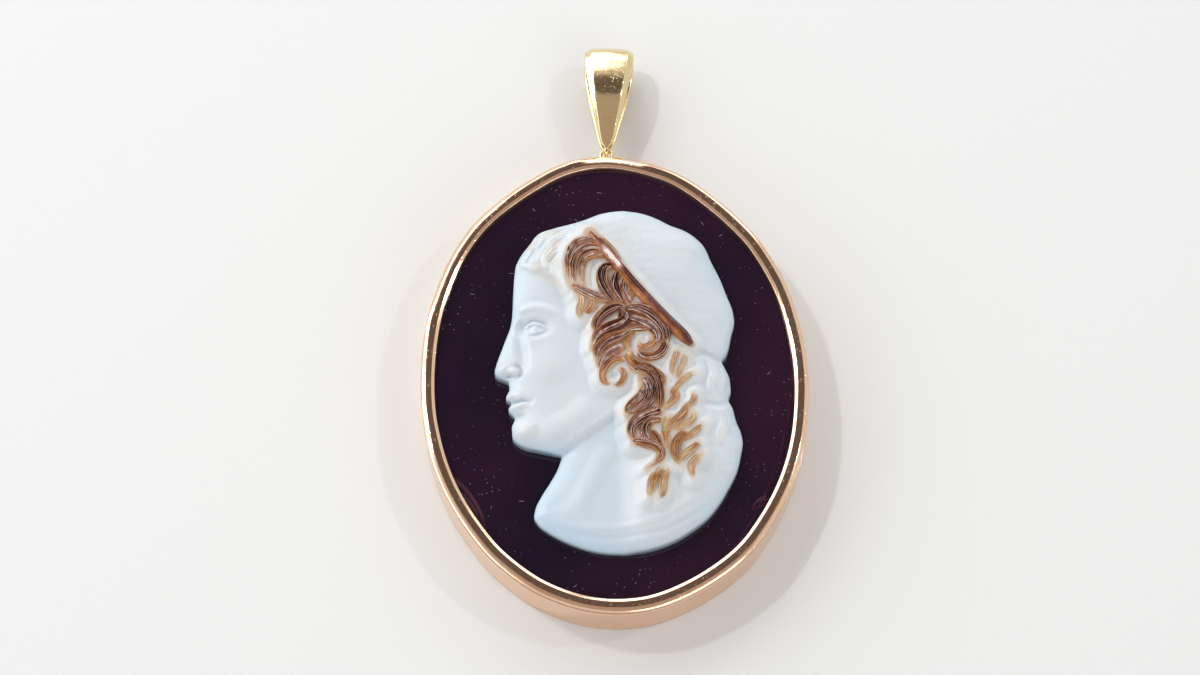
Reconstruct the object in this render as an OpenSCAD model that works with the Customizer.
// Cameo pendant: a layered stone carved with a bust in profile, in a gold bezel
// with a soldered ring at the top and a tapered bail threaded through it.
// It lies on its back. X runs across it, Y towards the bail, Z out of the face.
// The origin is under the middle of the whole pendant, on the surface it lies on.

/* [Oval] */
// Radius of the two tight curves at the ends of the opening
end_r = 12.7; // [12:0.1:13.4]
// Distance between the centres of a tight end curve and a flat side curve
curve_spread = 11; // [10:0.5:12]
// Lean of the oval to the left of the part's Y axis, in degrees
oval_lean = 1; // [0:0.5:6]

/* [Bezel] */
// Depth of the bezel from its back edge to the crest of its lip
bezel_depth = 4.4; // [3.8:0.1:5.5]
// Width of the rounded lip outside the opening
lip_w = 1.34; // [1.2:0.02:1.6]
// How far the wall stands out at the back beyond the lip
wall_flare = 0.08; // [0:0.02:0.2]
// Width of the bearer under the stone, inside the opening
bearer_in = 0.9; // [0.5:0.1:1.5]
// Thickness of the bearer
bearer_t = 0.8; // [0.5:0.1:1]
// Running gap between the stone and the metal
seat_gap = 0.03; // [0.02:0.01:0.08]

/* [Ring and bail] */
// Radius of the soldered ring at the middle of its wire
ring_r = 0.5; // [0.5:0.01:0.7]
// Radius of the ring's wire
ring_wire_r = 0.16; // [0.14:0.01:0.2]
// Height of the ring above the surface
ring_z = 2.5; // [2.2:0.1:2.6]
// How far the solder lifts the ring off the wall
ring_stand = 0.45; // [0.2:0.05:0.5]
// How far the hanging bail has swung to the right, in degrees
bail_swing = 3; // [0:0.5:4]
// Distance from the ring's top wire to the far end of the bail
bail_reach = 10.3; // [8:0.1:12]
// Widest part of the bail, near its top
bail_w = 4.3; // [3:0.1:5]
// Depth of the bail from front to back at its round top
bail_depth = 3.9; // [3.4:0.1:4.1]
// Thickness of the bail's leaf along its middle
bail_t = 0.6; // [0.45:0.05:0.7]

/* [Stone] */
// Thickness of the dark ground layer
ground_t = 2.2; // [1.6:0.1:2.6]
// How far the ground layer runs under the lip
ground_under = 0.5; // [0.3:0.05:0.55]
// Height of the bust's edge above the ground
edge_h = 0.85; // [0.6:0.05:1.2]
// Thickness of the white layer, which is flat under the brown one
white_h = 2.1; // [1.8:0.05:2.4]
// Greatest thickness of the brown layer left in the curls
brown_h = 0.7; // [0.4:0.05:0.9]

// Rise of the whole figure's drawing towards the right, as a share
figure_rise = 0.025; // [0:0.005:0.05]
// Place of the figure to the right of the oval's middle
figure_x = -0.1; // [-0.3:0.05:0.3]

/* [Head] */
// Height of the hairline above the middle of the oval
hairline_y = 11.9; // [11.5:0.1:12.2]
// Height of the underside of the chin
chin_y = -6.2; // [-6.4:0.1:-6]
// Place of the forehead, to the left of the oval's middle
forehead_x = -8.15; // [-8.3:0.05:-8]
// How far the nose stands out from the forehead line
nose_out = 1.8; // [1.5:0.05:1.9]

/* [Hidden] */

// Oval: two end curves and two side curves that meet smoothly, with their centres
// at the corners of triangles whose sides are as 3 to 4 to 5
end_c = curve_spread * 0.6;
side_c = curve_spread * 0.8;
side_r = end_r + curve_spread;
seat_w = ground_under + seat_gap;
rim_w = lip_w + wall_flare;

// Heights, from the surface up
lip_under_z = bezel_depth - 0.52;
ground_top_z = lip_under_z - seat_gap;
ground_low_z = ground_top_z - ground_t;
bearer_top_z = ground_low_z - seat_gap;
brown_z = ground_top_z + white_h;

// Relief: height of the plain bust, width of its rounded edge, drop from jaw to neck,
// and width of the flat white strip that carries a lock
plain_h = 1.75;
round_w = 2.8;
neck_step = 0.42;
strip_w = 0.85;

// Ring and bail, along Y from the middle of the oval
rim_top_y = end_c * cos(oval_lean) + sqrt((end_r + rim_w) ^ 2 - (end_c * sin(oval_lean)) ^ 2);
ring_y = rim_top_y + ring_stand + ring_r + ring_wire_r;
wire_y = ring_y + ring_r;
bail_top_y = wire_y + bail_reach;
swung_top_y = wire_y + bail_reach * cos(bail_swing);
tip_in_r = ring_wire_r + 0.11;
tip_t = 0.28;
tip_w = 0.36;
tip_r = tip_in_r + tip_t / 2;
crown_r = bail_depth / 2 - bail_t / 2;
crown_y = bail_top_y - bail_depth / 2;
crown_z = bail_depth / 2 + 0.12;

// The part's middle, halfway between the low end of the bezel and the top of the bail
low_y = -(end_c * cos(oval_lean) + end_r + rim_w);
origin_y = (low_y + swung_top_y) / 2;

// Profile face, drawn on the canon of three equal parts between hairline and chin
face_third = (hairline_y - chin_y) / 3;
brow_y = hairline_y - face_third;
nose_y = brow_y - face_third;
mouth_y = nose_y - face_third / 3;
crease_y = nose_y - face_third * 0.56;
nose_x = forehead_x - nose_out;

// Left edge of the bust from its foot to the crown, columns [height, place]
FRONT = [
    [-15.74, 0.5], [-15.66, -0.5], [-15.4, -1.9], [-14.9, -3.3], [-14.3, -4.5],
    [-13.6, -5.6], [-12.9, -6.4], [-12.2, -6.75], [-11.4, -6.6], [-10.4, -6.1],
    [-9.2, -5.35], [-8.2, -4.8], [-7.4, -4.5], [-7.0, -4.4],
    [chin_y - 0.55, -5.2], [chin_y - 0.25, -6.3], [chin_y, -7.2],
    [chin_y + 0.4, -7.95], [chin_y + 1.0, -8.4], [chin_y + 1.8, -8.45],
    [crease_y, forehead_x - 0.02],
    [mouth_y - 0.55, forehead_x - 0.55], [mouth_y, forehead_x - 0.3],
    [mouth_y + 0.45, forehead_x - 0.75], [nose_y - 0.75, forehead_x - 0.5],
    [nose_y - 0.1, forehead_x - 0.55], [nose_y + 0.15, nose_x + 0.45],
    [nose_y + 0.65, nose_x], [nose_y + 1.2, nose_x + 0.12],
    [nose_y + 3.2, forehead_x - 0.95], [brow_y - 0.9, forehead_x - 0.25],
    [brow_y, forehead_x - 0.12], [brow_y + 2.2, forehead_x],
    [10.2, -7.95], [11.3, -7.5], [12.4, -6.7], [13.4, -5.9], [13.9, -4.4],
    [14.25, -2.9], [14.55, -1.9], [15.0, -0.7], [15.18, 0.2], [15.24, 0.9]
];
// Right edge of the bust, nape and crown, columns [height, place]
BACK = [
    [-15.74, 0.7], [-15.6, 2.2], [-15.0, 4.3], [-14.0, 6.1], [-13.0, 7.4],
    [-11.8, 8.4], [-10.3, 9.3], [-9.0, 9.95], [-7.7, 10.3], [-6.6, 10.5],
    [-5.8, 10.4], [-4.7, 10.05], [-3.5, 9.8], [-2.75, 9.5], [-2.0, 9.72],
    [-0.9, 9.68], [0.1, 9.35], [0.8, 9.1], [1.3, 9.45], [1.9, 9.7], [3.2, 10.0],
    [4.4, 10.3], [5.4, 10.2], [6.7, 9.8], [8.3, 9.3], [10.0, 8.6], [11.4, 8.1],
    [12.3, 7.4], [13.1, 6.4], [13.6, 5.3], [14.5, 3.8], [15.0, 2.5], [15.24, 1.3]
];
// Rows of the bust's surface, columns [from, to, steps]
ROW_RUNS = [
    [-15.72, -14.8, 4], [-14.8, -7.6, 12], [-7.6, -5.6, 9], [-5.6, -3.2, 6],
    [-3.2, 1.0, 13], [1.0, 6.4, 11], [6.4, 13.0, 12], [13.0, 15.22, 8]
];
BUST_COLS = 42;

// Soft forms of the relief, columns [x, y, half length, half width, turn, rise]
FORMS = [
    [-7.0, brow_y - 1.2, 1.5, 1.1, 0, -0.42],
    [-6.8, brow_y - 1.3, 0.85, 0.55, 10, 0.34],
    [-6.4, brow_y + 0.1, 2.4, 0.6, -8, 0.14],
    [-7.6, nose_y + 2.2, 0.7, 2.6, 10, -0.30],
    [-8.3, nose_y + 0.6, 0.7, 0.6, 0, 0.26],
    [-5.0, nose_y + 0.6, 3.0, 2.6, 0, 0.16],
    [-7.9, mouth_y, 1.3, 0.28, 0, -0.34],
    [-8.2, mouth_y + 0.45, 0.9, 0.4, 0, 0.14],
    [-8.1, mouth_y - 0.5, 0.8, 0.4, 0, 0.16],
    [-7.7, crease_y, 0.9, 0.4, 0, -0.16],
    [-7.5, chin_y + 1.2, 1.3, 1.0, 0, 0.18],
    [-3.6, chin_y + 1.7, 3.6, 1.1, 24, 0.2],
    [-2.2, -9.6, 1.2, 5.2, 14, 0.16],
    [-4.6, 12.2, 2.6, 1.3, 24, 0.22],
    [4.6, 9.4, 4.6, 5.4, 12, 0.3],
    [7.6, 3.4, 2.2, 2.8, 0, 0.16],
    [8.3, -1.2, 0.8, 1.9, 12, 0.2],
    [7.1, -2.6, 0.5, 2.4, 18, 0.16],
    [8.9, -5.4, 0.9, 2.2, 20, 0.2],
    [7.4, -6.4, 0.5, 2.0, 26, 0.14],
    [2.2, -12.8, 5.4, 2.0, 14, 0.14]
];

// Locks of the brown layer, columns
// [root x, y, first bend x, y, second bend x, y, tip x, y, width, rise as a share]
LOCKS = [
    [-0.9, 11.5, -2.4, 11.9, -3.4, 10.7, -3.5, 8.2, 0.62, 0.7],
    [-0.5, 10.9, -1.9, 11.1, -2.8, 10.0, -2.8, 7.8, 0.60, 0.8],
    [-0.2, 10.2, -1.4, 10.3, -2.2, 9.4, -2.1, 7.7, 0.55, 0.7],
    [-3.3, 7.9, -2.1, 7.1, -0.9, 6.6, 0.2, 6.0, 0.60, 0.7],
    [-2.8, 7.0, -2.4, 6.3, -2.6, 5.5, -2.4, 4.8, 0.45, 0.4],
    [-1.8, 6.9, -1.5, 6.2, -1.8, 5.6, -2.3, 5.1, 0.45, 0.4],
    [0.1, 9.5, -0.7, 8.6, -0.2, 6.9, 0.9, 5.8, 0.70, 1.0],
    [0.8, 9.0, 0.4, 8.0, 0.6, 6.9, 1.3, 5.7, 0.62, 0.9],
    [1.5, 8.1, 1.1, 7.2, 1.5, 6.1, 2.6, 5.2, 0.55, 0.6],
    [0.9, 5.6, -0.1, 5.5, -1.1, 4.6, -1.3, 3.5, 0.70, 0.9],
    [1.2, 5.1, 0.6, 4.1, -0.7, 3.5, -1.6, 2.0, 0.80, 1.0],
    [1.3, 3.4, 0.1, 2.8, -1.0, 2.1, -1.1, 0.5, 0.80, 0.9],
    [1.1, 2.0, 0.0, 1.6, -0.8, 0.8, -0.9, -0.3, 0.65, 0.6],
    [1.1, 0.8, -0.2, 0.3, -0.6, -1.2, 0.7, -2.0, 0.55, 0.5],
    [1.2, 5.4, 2.9, 5.0, 4.3, 3.5, 4.0, 1.8, 0.85, 1.0],
    [4.3, 2.9, 3.9, 1.3, 2.8, 1.0, 2.3, 1.9, 0.60, 0.7],
    [1.3, 4.5, 2.6, 4.2, 3.5, 3.3, 3.2, 2.0, 0.70, 0.8],
    [1.4, 1.4, 2.1, 0.2, 3.4, -0.6, 4.0, -1.8, 0.55, 0.5],
    [1.8, 0.0, 3.2, -0.7, 3.8, -2.4, 3.6, -3.8, 0.70, 0.8],
    [2.5, -0.9, 3.0, -2.0, 2.6, -3.2, 1.1, -4.1, 0.75, 1.0],
    [2.2, -1.7, 2.0, -2.6, 1.4, -3.4, 1.1, -4.6, 0.55, 0.7],
    [3.8, -3.9, 2.4, -4.5, 1.5, -5.4, 1.9, -6.7, 0.70, 0.9],
    [3.8, -4.8, 2.8, -5.1, 2.6, -6.2, 3.6, -7.5, 0.60, 0.7],
    [1.7, -6.7, 2.6, -6.9, 3.5, -7.6, 2.5, -9.0, 0.60, 0.7],
    [4.7, -2.1, 5.0, -2.8, 4.6, -3.4, 4.1, -4.0, 0.40, 0.35],
    [5.9, -3.6, 5.2, -4.6, 4.5, -5.6, 4.4, -7.2, 0.45, 0.4],
    [6.4, -4.1, 6.2, -4.9, 5.6, -5.5, 5.0, -6.0, 0.35, 0.3],
    [6.0, -6.0, 5.2, -6.8, 4.9, -7.8, 5.3, -8.9, 0.50, 0.45],
    [6.8, -6.9, 6.2, -7.5, 5.8, -8.1, 5.8, -8.8, 0.40, 0.35],
    [7.0, -7.9, 6.4, -8.6, 6.2, -9.3, 6.3, -10.0, 0.40, 0.35],
    [3.8, -8.9, 3.3, -9.7, 3.0, -10.5, 3.0, -11.3, 0.40, 0.35],
    [4.4, -9.1, 4.0, -10.0, 3.8, -10.9, 3.4, -11.7, 0.40, 0.35]
];
LOCK_W = 8;
LOCK_RISE = 9;
LOCK_STEPS = 8;

// Band across the hair, columns [x, y, width, rise as a share]
BAND = [
    [-1.6, 12.75, 0.25, 0.3], [-0.4, 11.0, 0.7, 0.75], [2.2, 7.3, 0.85, 0.85],
    [4.4, 4.5, 0.95, 0.95], [6.2, 2.5, 0.8, 0.7], [6.8, 1.75, 0.2, 0.3]
];

function mix(a, b, t) = a + (b - a) * t;
function clamp01(v) = max(0, min(1, v));
function ease(v) = clamp01(v) ^ 2 * (3 - 2 * clamp01(v));

// Slope of a table at one of its points, level at every turn of the line
function slope_at(t, i) =
    (i == 0 || i == len(t) - 1) ? 0 :
    let (
        before = (t[i][1] - t[i - 1][1]) / (t[i][0] - t[i - 1][0]),
        after = (t[i + 1][1] - t[i][1]) / (t[i + 1][0] - t[i][0])
    )
    before * after <= 0 ? 0 : 2 * before * after / (before + after);

// Smooth line through a table of [height, place]
function line_at(t, y) =
    let (
        i = max([for (k = [0:len(t) - 2]) if (k == 0 || t[k][0] <= y) k]),
        run = t[i + 1][0] - t[i][0],
        s = clamp01((y - t[i][0]) / run)
    )
    t[i][1] * (2 * s ^ 3 - 3 * s ^ 2 + 1) + slope_at(t, i) * run * (s ^ 3 - 2 * s ^ 2 + s)
    + t[i + 1][1] * (3 * s ^ 2 - 2 * s ^ 3) + slope_at(t, i + 1) * run * (s ^ 3 - s ^ 2);

// Curve through the four points of a lock, with t from 0 at the root to 1 at the tip
function lock_point(l, t) =
    [for (k = [0, 1])
        -4.5 * (t - 1 / 3) * (t - 2 / 3) * (t - 1) * l[k]
        + 13.5 * t * (t - 2 / 3) * (t - 1) * l[2 + k]
        - 13.5 * t * (t - 1 / 3) * (t - 1) * l[4 + k]
        + 4.5 * t * (t - 1 / 3) * (t - 2 / 3) * l[6 + k]];

// Distance from a point to a straight piece between a and b
function piece_distance(p, a, b) =
    let (ab = b - a, t = clamp01((p - a) * ab / (ab * ab)))
    norm(p - a - ab * t);

// Rise of one soft form at a point
function form_rise(f, p) =
    let (
        d = p - [f[0], f[1]],
        u = (d[0] * cos(f[4]) + d[1] * sin(f[4])) / f[2],
        v = (d[1] * cos(f[4]) - d[0] * sin(f[4])) / f[3],
        q = u * u + v * v
    )
    q >= 1 ? 0 : f[5] * (1 - q) ^ 2;

// How far a point lies below the jaw, from 0 on the cheek to 1 on the neck
function below_jaw(p) =
    let (jaw = [-4.5, -6.8], along = [cos(33), sin(33)], d = p - jaw)
    ease(0.5 - (d[1] * along[0] - d[0] * along[1]) / 0.9) * ease((2.4 - p[0]) / 2.5);

// Height of the white layer above the ground
function white_height(p, edge_d, lock_d) =
    let (
        crown = edge_h + (plain_h - edge_h) * sqrt(1 - (1 - clamp01(edge_d / round_w)) ^ 2),
        forms = [for (f = FORMS) form_rise(f, p)] * [for (f = FORMS) 1],
        bare = min(white_h, crown + forms - neck_step * below_jaw(p))
    )
    mix(bare, white_h, ease(1.8 - lock_d / strip_w));

// Place of a point of the figure's drawing on the stone
function drawn(p) = [p[0] + figure_x, p[1] + figure_rise * p[0]];

module on_part() {
    translate([0, -origin_y, 0]) children();
}

// Turns one profile about the two end centres and another about the two side centres.
// The four sectors meet on the lines through their centres.
module oval_turning() {
    far = 4 * curve_spread;
    for (turn = [0, 180]) {
        rotate([0, 0, turn]) {
            intersection() {
                translate([0, end_c, 0]) rotate_extrude($fn = 160) children(0);
                translate([0, 0, -1]) linear_extrude(bezel_depth + 2)
                    polygon([[0, end_c], [far * 0.8, end_c + far * 0.6],
                        [-far * 0.8, end_c + far * 0.6]]);
            }
            intersection() {
                translate([-side_c, 0, 0]) rotate_extrude($fn = 256) children(1);
                translate([0, 0, -1]) linear_extrude(bezel_depth + 2)
                    polygon([[-side_c, 0], [far * 0.8 - side_c, -far * 0.6],
                        [far * 0.8 - side_c, far * 0.6]]);
            }
        }
    }
}

module bezel_profile() {
    crest_z = bezel_depth;
    bearer_low_z = bearer_top_z - bearer_t;
    polygon([
        [-bearer_in, bearer_low_z], [seat_w, bearer_low_z], [seat_w, 0],
        [rim_w - 0.12, 0], [rim_w, 0.12], [lip_w, lip_under_z - 0.3],
        [lip_w - 0.08, lip_under_z - 0.2], [lip_w, lip_under_z - 0.1],
        [lip_w - 0.02, lip_under_z + 0.12], [lip_w - 0.14, lip_under_z + 0.3],
        [lip_w - 0.4, crest_z - 0.06], [lip_w - 0.72, crest_z],
        [0.3, crest_z - 0.08], [0.12, crest_z - 0.24], [0, lip_under_z + 0.08],
        [0, lip_under_z], [seat_w, lip_under_z], [seat_w, bearer_top_z],
        [-bearer_in, bearer_top_z]
    ]);
}

module bezel() {
    color("#d9a886") on_part() {
        rotate([0, 0, oval_lean]) oval_turning() {
            translate([end_r, 0]) bezel_profile();
            translate([side_r, 0]) bezel_profile();
        }
        translate([0, ring_y, ring_z])
            rotate_extrude($fn = 48) translate([ring_r, 0]) circle(r = ring_wire_r, $fn = 24);
        hull() {
            translate([-0.8, rim_top_y - 0.5, ring_z - 0.7]) cube([1.6, 0.35, 1.4]);
            translate([-0.34, ring_y - ring_r - 0.1, ring_z - 0.24]) cube([0.68, 0.2, 0.48]);
        }
    }
}

// Path of the bail seen from the side, closed: tip, front leaf, round top, back leaf.
// Columns [y, z, outward y, outward z]
function arc_station(c, r, a) = [c[0] + r * cos(a), c[1] + r * sin(a), cos(a), sin(a)];
function leaf_station(a, b, s, bow) =
    let (n = [mix(a[2], b[2], s), mix(a[3], b[3], s)], u = n / norm(n))
    [mix(a[0], b[0], s) + u[0] * bow * sin(180 * s),
        mix(a[1], b[1], s) + u[1] * bow * sin(180 * s), u[0], u[1]];
function bail_path() =
    let (
        tip = [wire_y, ring_z],
        crown = [crown_y, crown_z],
        axis = atan2(crown[1] - tip[1], crown[0] - tip[0]),
        open = acos((tip_r - crown_r) / norm(crown - tip)),
        leaf_steps = 9,
        top_steps = 14,
        tip_steps = 8,
        front_low = arc_station(tip, tip_r, axis + open),
        front_top = arc_station(crown, crown_r, axis + open),
        back_top = arc_station(crown, crown_r, axis - open),
        back_low = arc_station(tip, tip_r, axis - open)
    )
    [
        for (i = [0:leaf_steps - 1]) leaf_station(front_low, front_top, i / leaf_steps, 0.16),
        for (i = [0:top_steps - 1])
            arc_station(crown, crown_r, axis + open - 2 * open * i / top_steps),
        for (i = [0:leaf_steps - 1]) leaf_station(back_top, back_low, i / leaf_steps, 0.16),
        for (i = [0:tip_steps - 1])
            arc_station(tip, tip_r, axis - open - (360 - 2 * open) * i / tip_steps)
    ];

// Width of the bail along its length, as a share of the widest part
BAIL_TAPER = [[0, 0.1], [0.06, 0.24], [0.32, 0.5], [0.6, 0.8], [0.88, 1], [1, 0.97]];

module bail() {
    path = bail_path();
    section = [-1, -0.96, -0.6, 0, 0.6, 0.96, 1];
    lift = [0.1, 0.55, 0.86, 1, 0.86, 0.55, 0.1];
    n = len(section);
    ring = n + 2;
    function station(s) =
        let (
            along = clamp01((s[0] - wire_y) / bail_reach),
            half = max(tip_w / 2, bail_w / 2 * line_at(BAIL_TAPER, along)),
            t = mix(tip_t, bail_t, ease(along * 4))
        )
        concat(
            [for (k = [0:n - 1])
                let (out = t * (lift[k] - 0.5))
                [half * section[k], s[0] + s[2] * out, s[1] + s[3] * out]],
            [for (side = [0.94, -0.94]) [half * side, s[0] - s[2] * t / 2, s[1] - s[3] * t / 2]]
        );
    points = [for (s = path) each station(s)];
    faces = [
        for (i = [0:len(path) - 1], k = [0:ring - 1])
            let (
                j = (i + 1) % len(path),
                l = (k + 1) % ring
            )
            each [
                [i * ring + k, j * ring + k, j * ring + l],
                [i * ring + k, j * ring + l, i * ring + l]
            ]
    ];
    color("#dcbf7c") on_part() translate([0, wire_y, 0]) rotate([0, 0, -bail_swing])
        translate([0, -wire_y, 0]) polyhedron(points, faces);
}

// Half the section of the ground layer, from its turning centre to its bevelled edge
module ground_profile(r) {
    edge = r + ground_under;
    bevel = 0.12;
    polygon([
        [0, ground_low_z], [edge, ground_low_z], [edge, ground_top_z - bevel],
        [edge - bevel * 2, ground_top_z], [0, ground_top_z]
    ]);
}

module ground_layer() {
    color("#2d1c2c") on_part() rotate([0, 0, oval_lean]) oval_turning() {
        ground_profile(end_r);
        ground_profile(side_r);
    }
}

module white_bust() {
    rows = [
        for (r = ROW_RUNS, i = [0:r[2] - 1]) mix(r[0], r[1], i / r[2]),
        ROW_RUNS[len(ROW_RUNS) - 1][1]
    ];
    last_row = len(rows) - 1;
    fronts = [for (y = rows) line_at(FRONT, y)];
    backs = [for (y = rows) line_at(BACK, y)];
    outline = concat(
        [for (i = [0:last_row]) [fronts[i], rows[i]]],
        [for (i = [last_row:-1:0]) [backs[i], rows[i]]]
    );
    lock_chords = [for (l = LOCKS, k = [0, 2, 4]) [[l[k], l[k + 1]], [l[k + 2], l[k + 3]]]];
    band_chord = [[BAND[0][0], BAND[0][1]], [BAND[5][0], BAND[5][1]]];
    function across(j) =
        let (u = j / (BUST_COLS - 1))
        mix(u, 0.5 - 0.5 * cos(180 * u), 0.55);
    function edge_distance(p) = min([for (k = [0:len(outline) - 2])
        if (abs(outline[k][1] - p[1]) < 3.2) piece_distance(p, outline[k], outline[k + 1])]);
    function lock_distance(p) = min([for (c = concat(lock_chords, [band_chord]))
        piece_distance(p, c[0], c[1])]);
    function top_point(i, j) =
        let (p = [mix(fronts[i], backs[i], across(j)), rows[i]])
        [p[0], p[1], ground_top_z + white_height(p, edge_distance(p), lock_distance(p))];
    top = [for (i = [0:last_row], j = [0:BUST_COLS - 1]) top_point(i, j)];
    base = [for (i = [0:last_row]) each [
        [fronts[i], rows[i], ground_top_z], [backs[i], rows[i], ground_top_z]]];
    at_base = len(top);
    last_col = BUST_COLS - 1;
    faces = [
        for (i = [0:last_row - 1], j = [0:last_col - 1])
            let (a = i * BUST_COLS + j, b = a + BUST_COLS)
            each [[a, b, b + 1], [a, b + 1, a + 1]],
        for (i = [0:last_row - 1])
            let (f = at_base + 2 * i, a = i * BUST_COLS)
            each [
                [f, f + 2, a + BUST_COLS], [f, a + BUST_COLS, a],
                [f + 1, a + last_col, a + BUST_COLS + last_col],
                [f + 1, a + BUST_COLS + last_col, f + 3],
                [f, f + 1, f + 3], [f, f + 3, f + 2]
            ],
        for (j = [0:last_col - 1]) each [
            [at_base, j, j + 1],
            [at_base + 2 * last_row, last_row * BUST_COLS + j + 1, last_row * BUST_COLS + j]
        ],
        [at_base, last_col, at_base + 1],
        [at_base + 2 * last_row, at_base + 2 * last_row + 1, last_row * BUST_COLS + last_col]
    ];
    places = [for (p = concat(top, base)) [drawn(p)[0], drawn(p)[1], p[2]]];
    color("#dbe5ec") on_part() polyhedron(places, faces);
}

// One lock: a ridge that follows its curve, full in the middle and thin at its tip
module lock(l) {
    span = 0.01;
    function station(i) =
        let (
            t = i / LOCK_STEPS,
            p = drawn(lock_point(l, t)),
            d = drawn(lock_point(l, min(1, t + span))) - drawn(lock_point(l, max(0, t - span))),
            side = [-d[1], d[0]] / norm(d),
            full = mix(0.55, 1, sin(180 * min(1, t * 1.25) ^ 0.8)) * mix(1, 0.35, ease(t * 2 - 1)),
            half = l[LOCK_W] / 2 * full,
            rise = brown_h * l[LOCK_RISE] * full
        )
        [for (c = [[-1, 0], [-0.55, 0.85], [0.1, 1], [0.6, 0.75], [1, 0]])
            [p[0] + side[0] * half * c[0], p[1] + side[1] * half * c[0], brown_z + rise * c[1]]];
    n = 5;
    points = [for (i = [0:LOCK_STEPS]) each station(i)];
    last = LOCK_STEPS * n;
    polyhedron(points, [
        for (i = [0:LOCK_STEPS - 1], k = [0:n - 1])
            let (a = i * n + k, b = i * n + (k + 1) % n)
            each [[a, b + n, a + n], [a, b, b + n]],
        [for (k = [n - 1:-1:0]) k],
        [for (k = [0:n - 1]) last + k]
    ]);
    root = drawn(lock_point(l, 0));
    hull() {
        translate([root[0], root[1], brown_z])
            linear_extrude(0.05) circle(d = l[LOCK_W] * 0.62, $fn = 10);
        translate([root[0], root[1], brown_z])
            linear_extrude(brown_h * l[LOCK_RISE] * 0.5) circle(d = l[LOCK_W] * 0.35, $fn = 8);
    }
}

// The band's straight run across the hair, through one section for each row of its table
module band_run(sections) {
    middles = [for (b = BAND) drawn(b)];
    last = len(BAND) - 1;
    turn = atan2(middles[last][1] - middles[0][1], middles[last][0] - middles[0][0]);
    corners = [for (k = [0:last]) for (c = sections[k])
        [middles[k][0] - c[0] * sin(turn), middles[k][1] + c[0] * cos(turn), brown_z + c[1]]];
    sides = [for (k = [0:last - 1]) for (j = [0:3]) let (a = 4 * k + j, b = 4 * k + (j + 1) % 4)
        each [[a, a + 4, b + 4], [a, b + 4, b]]];
    ends = [[0, 1, 2, 3], [4 * last + 3, 4 * last + 2, 4 * last + 1, 4 * last]];
    polyhedron(corners, concat(sides, ends));
}

module brown_curls() {
    clear = 0.03;
    over = brown_h + 0.1;
    color("#7a4a2c") on_part() difference() {
        for (l = LOCKS) {
            lock(l);
        }
        band_run([for (b = BAND) let (half = b[2] / 2 + clear)
            [[-half, -0.1], [half, -0.1], [half, over], [-half, over]]]);
    }
}

module fillet() {
    color("#8a4a22") on_part() band_run([for (b = BAND) let (top = brown_h * b[3])
        [[-b[2] / 2, 0], [b[2] / 2, 0], [b[2] * 0.36, top], [-b[2] * 0.2, top]]]);
}

bezel();
bail();
ground_layer();
white_bust();
brown_curls();
fillet();
